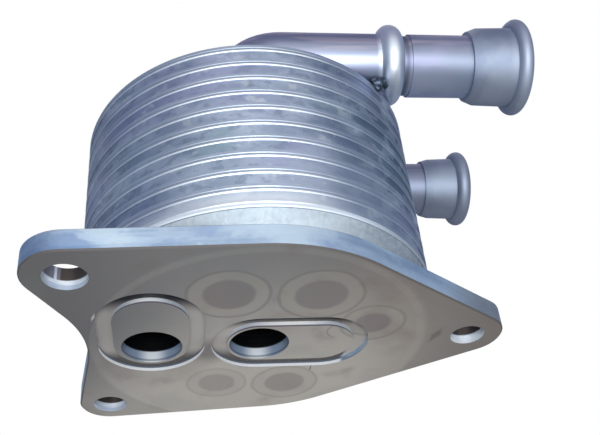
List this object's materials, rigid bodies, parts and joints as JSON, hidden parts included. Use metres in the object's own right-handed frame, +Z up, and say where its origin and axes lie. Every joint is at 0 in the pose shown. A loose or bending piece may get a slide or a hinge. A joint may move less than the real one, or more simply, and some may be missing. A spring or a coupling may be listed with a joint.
{
  "type": "transmission oil cooler",
  "caption": "Round stacked-plate oil cooler on a drilled flange with grooved oil ports, and two bent coolant pipes on its top cover.",
  "frame": {"origin": "centre of the middle oil port on the flange's sealing face, which is also on the plate stack's axis", "axes": "+Z up the plate stack away from the sealing face, +X the way both coolant pipes point, +Y towards the thinner pipe"},
  "size_m": [0.1349, 0.092, 0.0879],
  "materials": {
    "flange": "matt as cast, machined holes",
    "pan": "satin pressed sheet",
    "plates": "satin pressed sheet with bright brazed lips",
    "folded_sheets": "plain rolled sheet",
    "pipes": "satin drawn tube",
    "connectors": "fine turned satin"
  },
  "bodies": {
    "root": {"base_flange": "flange", "base_pan": "pan", "divider_plate_01": "plates", "divider_plate_02": "plates", "divider_plate_03": "plates", "divider_plate_04": "plates", "divider_plate_05": "plates", "divider_plate_06": "plates", "divider_plate_07": "plates", "divider_plate_08": "plates", "divider_plate_09": "plates", "divider_plate_10": "plates", "dished_plate_01": "plates", "dished_plate_02": "plates", "dished_plate_03": "plates", "dished_plate_04": "plates", "dished_plate_05": "plates", "dished_plate_06": "plates", "dished_plate_07": "plates", "dished_plate_08": "plates", "dished_plate_09": "plates", "dished_plate_10": "plates", "turbulator_01": "folded_sheets", "turbulator_03": "folded_sheets", "turbulator_05": "folded_sheets", "turbulator_07": "folded_sheets", "turbulator_09": "folded_sheets", "top_cover": "plates", "outlet_elbow": "pipes", "outlet_tube": "pipes", "outlet_connector": "connectors", "inlet_pipe": "pipes", "inlet_connector": "connectors"}
  },
  "joints": []
}
